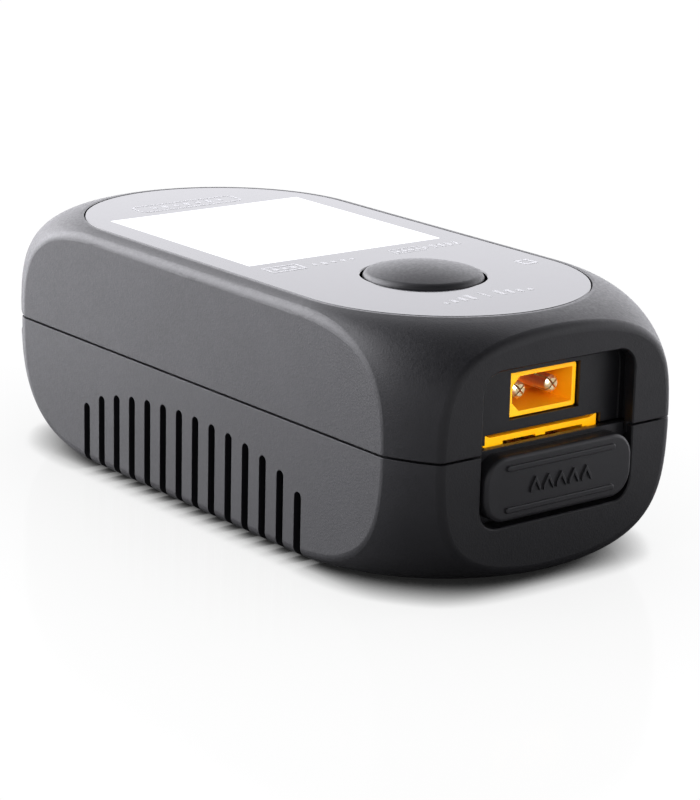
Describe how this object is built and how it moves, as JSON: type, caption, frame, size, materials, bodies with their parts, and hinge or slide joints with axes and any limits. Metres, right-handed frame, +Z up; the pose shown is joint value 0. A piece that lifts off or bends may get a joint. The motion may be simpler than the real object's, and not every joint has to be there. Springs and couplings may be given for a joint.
{
  "type": "balance battery charger",
  "caption": "Pocket balance charger: pebble case with glossy top panel and screen, turn-and-press knob, side vents, power and balance ports, two sliding port covers, fan and boards inside.",
  "frame": {"origin": "on the resting plane, under the middle of the case", "axes": "+X points out of the output end, -X out of the input end, +Z is up through the knob, +Y completes the right-handed frame along the case's width"},
  "size_m": [0.0896, 0.0418, 0.0329],
  "materials": {
    "case": "fine-grained charcoal moulding",
    "foot_rubber": "soft black rubber",
    "screw_steel": "blackened steel",
    "panel_gloss": "glossy black acrylic, back-printed, with a clear window over the screen",
    "adhesive_film": "black adhesive tape",
    "lcd_metal": "thin plated steel",
    "diffuser": "white light guide",
    "screen_glass": "lit liquid-crystal glass",
    "flex_film": "amber polyimide film",
    "connector_white": "natural nylon",
    "knob_plastic": "smooth satin charcoal",
    "encoder_metal": "plated metal",
    "encoder_plastic": "green moulded plastic",
    "amber_nylon": "amber-yellow nylon",
    "contact_gold": "gold-plated brass",
    "contact_tin": "tin-plated brass",
    "cover_plastic": "satin charcoal, slightly smoother than the case",
    "can_steel": "drawn stainless steel",
    "black_nylon": "black nylon",
    "board_mask": "black solder mask over glass fibre",
    "chip_epoxy": "moulded epoxy with tinned leads",
    "can_aluminium": "aluminium can",
    "ferrite": "pressed ferrite powder",
    "shunt_alloy": "copper-nickel strap",
    "resistor_ceramic": "ceramic chip with tinned ends",
    "heatsink_aluminium": "extruded, anodised",
    "thermal_silicone": "grey-blue silicone pad",
    "fan_plastic": "black glass-filled plastic",
    "winding_copper": "enamelled copper windings",
    "cable_jacket": "vinyl-jacketed wires and their plug"
  },
  "bodies": {
    "case": {"top_shell": "case", "bottom_shell": "case", "rubber_feet": "foot_rubber", "shell_screws": "screw_steel", "board_screws": "screw_steel", "fan_screws": "screw_steel", "front_panel": "panel_gloss", "panel_adhesive": "adhesive_film", "lcd_tray": "lcd_metal", "lcd_backlight": "diffuser", "lcd_glass": "screen_glass", "lcd_flex": "flex_film", "flex_connector": "connector_white", "encoder_body": "encoder_plastic", "encoder_clip": "encoder_metal", "output_housing": "amber_nylon", "output_pins": "contact_gold", "input_housing": "amber_nylon", "input_pins": "contact_gold", "balance_socket": "amber_nylon", "balance_pins": "contact_tin", "usb_shell": "can_steel", "usb_tongue": "black_nylon", "header_housings": "black_nylon", "header_pins": "contact_gold", "control_board": "board_mask", "power_board": "board_mask", "usb_board": "board_mask", "control_chips": "chip_epoxy", "buzzer": "black_nylon", "mosfets": "chip_epoxy", "capacitors": "can_aluminium", "inductor": "ferrite", "shunt": "shunt_alloy", "balance_resistors": "resistor_ceramic", "heatsink": "heatsink_aluminium", "thermal_pad": "thermal_silicone", "fan_frame": "fan_plastic", "fan_stator": "winding_copper", "fan_cable": "cable_jacket"},
    "switch": {"switch_plunger": "connector_white"},
    "knob": {"knob": "knob_plastic", "encoder_shaft": "encoder_metal"},
    "output_slider": {"output_cover": "cover_plastic"},
    "input_slider": {"input_cover": "cover_plastic"},
    "rotor": {"fan_rotor": "fan_plastic"}
  },
  "joints": [
    {"name": "knob_press", "type": "slide", "parent": "case", "child": "switch", "axis": [0, 0, -1], "range_m": [0, 0.0005], "stiffness_N_per_m": 400, "springref_m": -0.0005},
    {"name": "knob_turn", "type": "hinge", "parent": "switch", "child": "knob", "pos_m": [0.01905, 0, 0.03145], "axis": [0, 0, 1], "continuous": true},
    {"name": "output_cover_slide", "type": "slide", "parent": "case", "child": "output_slider", "axis": [0, 0, 1], "range_m": [0, 0.0087]},
    {"name": "input_cover_slide", "type": "slide", "parent": "case", "child": "input_slider", "axis": [0, 0, 1], "range_m": [0, 0.0087]},
    {"name": "fan_spin", "type": "hinge", "parent": "case", "child": "rotor", "pos_m": [-0.0125, 0, 0.01015], "axis": [0, 0, 1], "continuous": true}
  ]
}
